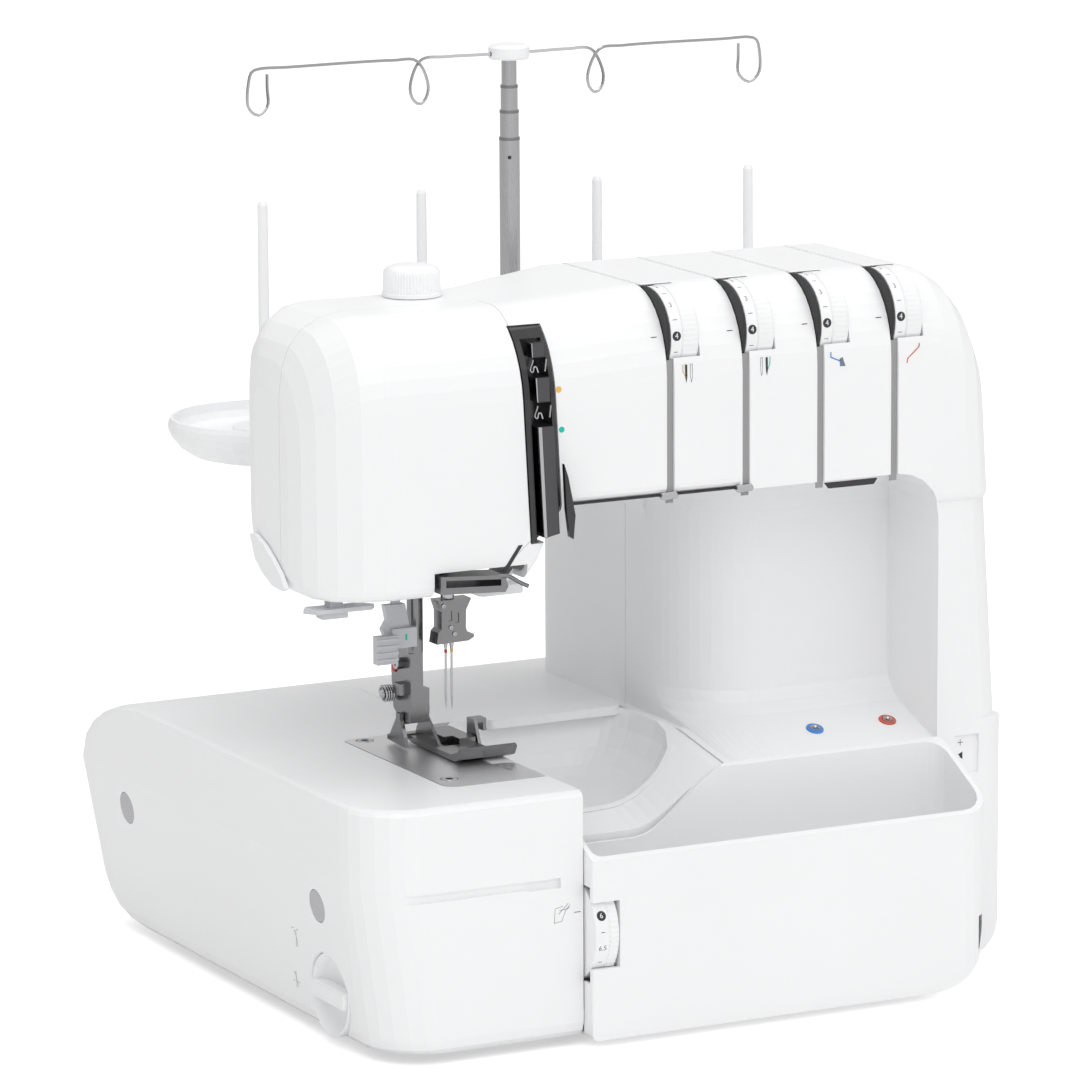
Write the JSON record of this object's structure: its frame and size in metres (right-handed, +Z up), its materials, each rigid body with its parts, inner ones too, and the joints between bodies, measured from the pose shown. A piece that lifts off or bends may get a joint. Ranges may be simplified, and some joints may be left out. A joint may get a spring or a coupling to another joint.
{
  "type": "overlock sewing machine",
  "caption": "Domestic overlock machine with a free arm, two needles, looper cover with waste bin, tension dials and a telescopic thread stand that rises above the spools.",
  "frame": {"origin": "middle of the footprint's bounding box, on the table", "axes": "+X to the machine's right, seen by the person sewing; +Y to its back; +Z up"},
  "size_m": [0.3686, 0.3256, 0.4136],
  "materials": {
    "white_moulding": "satin near-white moulded plastic",
    "grey_moulding": "light grey moulded plastic",
    "rubber": "black rubber",
    "frame_casting": "as cast",
    "steel_parts": "brushed",
    "plate_steel": "dark brushed plate",
    "chrome_parts": "polished",
    "dark_moulding": "glossy near-black plastic",
    "red_moulding": "red plastic",
    "lamp_diffuser": "frosted lamp cover"
  },
  "bodies": {
    "housing": {"base_tray": "grey_moulding", "foot_front_left": "rubber", "foot_front_right": "rubber", "foot_rear_right": "rubber", "foot_rear_left": "rubber", "free_arm_cover": "white_moulding", "rear_cover": "white_moulding", "front_cover": "white_moulding", "face_cover": "white_moulding", "machine_frame": "frame_casting", "waste_chute": "white_moulding", "needle_plate": "plate_steel", "lower_knife": "steel_parts", "spool_tray": "white_moulding", "spool_pin_1": "white_moulding", "spool_pin_2": "white_moulding", "spool_pin_3": "white_moulding", "spool_pin_4": "white_moulding", "pole_tube_1": "steel_parts", "thread_guard": "dark_moulding", "thread_guide": "chrome_parts", "lamp_lens": "lamp_diffuser", "thread_cutter": "grey_moulding", "motor": "dark_moulding", "drive_belt": "rubber", "power_inlet": "dark_moulding"},
    "wheel_shaft": {"handwheel": "white_moulding", "main_shaft": "steel_parts"},
    "motor_rotor": {"motor_pulley": "steel_parts"},
    "needle_group": {"needle_bar": "chrome_parts", "needle_clamp": "steel_parts", "needle_left": "chrome_parts", "needle_right": "chrome_parts"},
    "take_up": {"take_up_lever": "chrome_parts"},
    "cutter": {"upper_knife": "steel_parts"},
    "looper_low": {"lower_looper": "chrome_parts"},
    "looper_high": {"upper_looper": "chrome_parts"},
    "feed": {"feed_dog": "steel_parts"},
    "lifter": {"presser_lifter": "white_moulding"},
    "presser": {"presser_bar": "chrome_parts", "presser_shank": "steel_parts"},
    "foot": {"presser_foot": "chrome_parts"},
    "release": {"foot_release_button": "red_moulding"},
    "threader": {"needle_threader": "grey_moulding"},
    "pressure": {"pressure_knob": "white_moulding"},
    "tension_1": {"tension_dial_1": "white_moulding"},
    "tension_2": {"tension_dial_2": "white_moulding"},
    "tension_3": {"tension_dial_3": "white_moulding"},
    "tension_4": {"tension_dial_4": "white_moulding"},
    "width_dial": {"cutting_width_dial": "white_moulding"},
    "hem_knob": {"rolled_hem_knob": "white_moulding"},
    "stitch_dial": {"stitch_length_dial": "grey_moulding"},
    "cover_rod": {"looper_cover_rod": "steel_parts"},
    "front_bin": {"looper_cover": "white_moulding"},
    "tube_2": {"pole_tube_2": "steel_parts"},
    "tube_3": {"pole_tube_3": "steel_parts"},
    "tube_4": {"pole_tube_4": "steel_parts"},
    "guide_bar": {"thread_guide_cap": "white_moulding", "thread_guide_wire": "chrome_parts"},
    "rocker": {"power_switch": "dark_moulding"}
  },
  "joints": [
    {"name": "handwheel_turn", "type": "hinge", "parent": "housing", "child": "wheel_shaft", "pos_m": [0.1663, -0.01225, 0.075], "axis": [1, 0, 0], "continuous": true},
    {"name": "motor_spin", "type": "hinge", "parent": "housing", "child": "motor_rotor", "pos_m": [0.1183, 0.04375, 0.044], "axis": [1, 0, 0], "continuous": true},
    {"name": "needle_bar_stroke", "type": "slide", "parent": "housing", "child": "needle_group", "axis": [0, 0, 1], "range_m": [-0.026, 0]},
    {"name": "take_up_stroke", "type": "slide", "parent": "housing", "child": "take_up", "axis": [0, 0, 1], "range_m": [-0.013, 0]},
    {"name": "upper_knife_stroke", "type": "slide", "parent": "housing", "child": "cutter", "axis": [0, 0, 1], "range_m": [-0.008, 0]},
    {"name": "lower_looper_swing", "type": "hinge", "parent": "housing", "child": "looper_low", "pos_m": [-0.0537, -0.06425, 0.034], "axis": [0, 1, 0], "range_deg": [-12, 0]},
    {"name": "upper_looper_swing", "type": "hinge", "parent": "housing", "child": "looper_high", "pos_m": [-0.0237, -0.08225, 0.034], "axis": [0, 1, 0], "range_deg": [-15, 0]},
    {"name": "feed_stroke", "type": "slide", "parent": "housing", "child": "feed", "axis": [0, 1, 0], "range_m": [-0.0039, 0]},
    {"name": "presser_lifter_turn", "type": "hinge", "parent": "housing", "child": "lifter", "pos_m": [-0.1832, -0.04525, 0.217], "axis": [1, 0, 0], "range_deg": [0, 40]},
    {"name": "presser_bar_lift", "type": "slide", "parent": "housing", "child": "presser", "axis": [0, 0, 1], "range_m": [0, 0.004]},
    {"name": "presser_foot_tilt", "type": "hinge", "parent": "presser", "child": "foot", "pos_m": [-0.1047, -0.03925, 0.128], "axis": [-1, 0, 0], "range_deg": [0, 6]},
    {"name": "foot_release_press", "type": "slide", "parent": "presser", "child": "release", "axis": [1, 0, 0], "range_m": [0, 0.0015], "stiffness_N_per_m": 200},
    {"name": "needle_threader_pull", "type": "slide", "parent": "housing", "child": "threader", "axis": [0, 0, 1], "range_m": [-0.014, 0], "stiffness_N_per_m": 40},
    {"name": "pressure_knob_turn", "type": "hinge", "parent": "housing", "child": "pressure", "pos_m": [-0.1057, -0.04625, 0.32], "axis": [0, 0, 1], "range_deg": [-180, 180]},
    {"name": "tension_dial_1_turn", "type": "hinge", "parent": "housing", "child": "tension_1", "pos_m": [-0.0058, -0.09295, 0.3009], "axis": [1, 0, 0], "range_deg": [-150, 150]},
    {"name": "tension_dial_2_turn", "type": "hinge", "parent": "housing", "child": "tension_2", "pos_m": [0.032, -0.09295, 0.3009], "axis": [1, 0, 0], "range_deg": [-150, 150]},
    {"name": "tension_dial_3_turn", "type": "hinge", "parent": "housing", "child": "tension_3", "pos_m": [0.0698, -0.09295, 0.3009], "axis": [1, 0, 0], "range_deg": [-150, 150]},
    {"name": "tension_dial_4_turn", "type": "hinge", "parent": "housing", "child": "tension_4", "pos_m": [0.1076, -0.09295, 0.3009], "axis": [1, 0, 0], "range_deg": [-150, 150]},
    {"name": "cutting_width_turn", "type": "hinge", "parent": "housing", "child": "width_dial", "pos_m": [-0.0747, -0.13925, 0.0505], "axis": [1, 0, 0], "range_deg": [-60, 60]},
    {"name": "rolled_hem_knob_turn", "type": "hinge", "parent": "housing", "child": "hem_knob", "pos_m": [-0.1755, -0.10025, 0.023], "axis": [1, 0, 0], "range_deg": [0, 90]},
    {"name": "stitch_length_turn", "type": "hinge", "parent": "housing", "child": "stitch_dial", "pos_m": [0.1651, -0.06025, 0.06], "axis": [1, 0, 0], "range_deg": [-150, 150]},
    {"name": "looper_cover_shift", "type": "slide", "parent": "housing", "child": "cover_rod", "axis": [1, 0, 0], "range_m": [0, 0.003]},
    {"name": "looper_cover_swing", "type": "hinge", "parent": "cover_rod", "child": "front_bin", "pos_m": [0.0183, -0.15425, 0.012], "axis": [1, 0, 0], "range_deg": [0, 80]},
    {"name": "pole_tube_2_rise", "type": "slide", "parent": "housing", "child": "tube_2", "axis": [0, 0, 1], "range_m": [0, 0.105]},
    {"name": "pole_tube_3_rise", "type": "slide", "parent": "tube_2", "child": "tube_3", "axis": [0, 0, 1], "range_m": [0, 0.105]},
    {"name": "pole_tube_4_rise", "type": "slide", "parent": "tube_3", "child": "tube_4", "axis": [0, 0, 1], "range_m": [0, 0.105]},
    {"name": "guide_bar_turn", "type": "hinge", "parent": "tube_4", "child": "guide_bar", "pos_m": [-0.0064, 0.05375, 0.41], "axis": [0, 0, 1], "range_deg": [-90, 90]},
    {"name": "power_switch_rock", "type": "hinge", "parent": "housing", "child": "rocker", "pos_m": [0.1553, 0.01775, 0.07], "axis": [0, 1, 0], "range_deg": [0, 8]}
  ],
  "couplings": [
    {"joint": "motor_spin", "follows": "handwheel_turn", "ratio": 3},
    {"joint": "take_up_stroke", "follows": "needle_bar_stroke", "ratio": 0.5},
    {"joint": "upper_knife_stroke", "follows": "needle_bar_stroke", "ratio": 0.30768},
    {"joint": "lower_looper_swing", "follows": "needle_bar_stroke", "rad_per_m": 8.0544},
    {"joint": "upper_looper_swing", "follows": "needle_bar_stroke", "rad_per_m": 10.068},
    {"joint": "feed_stroke", "follows": "needle_bar_stroke", "ratio": 0.15},
    {"joint": "presser_lifter_turn", "follows": "presser_bar_lift", "rad_per_m": 174.4}
  ]
}
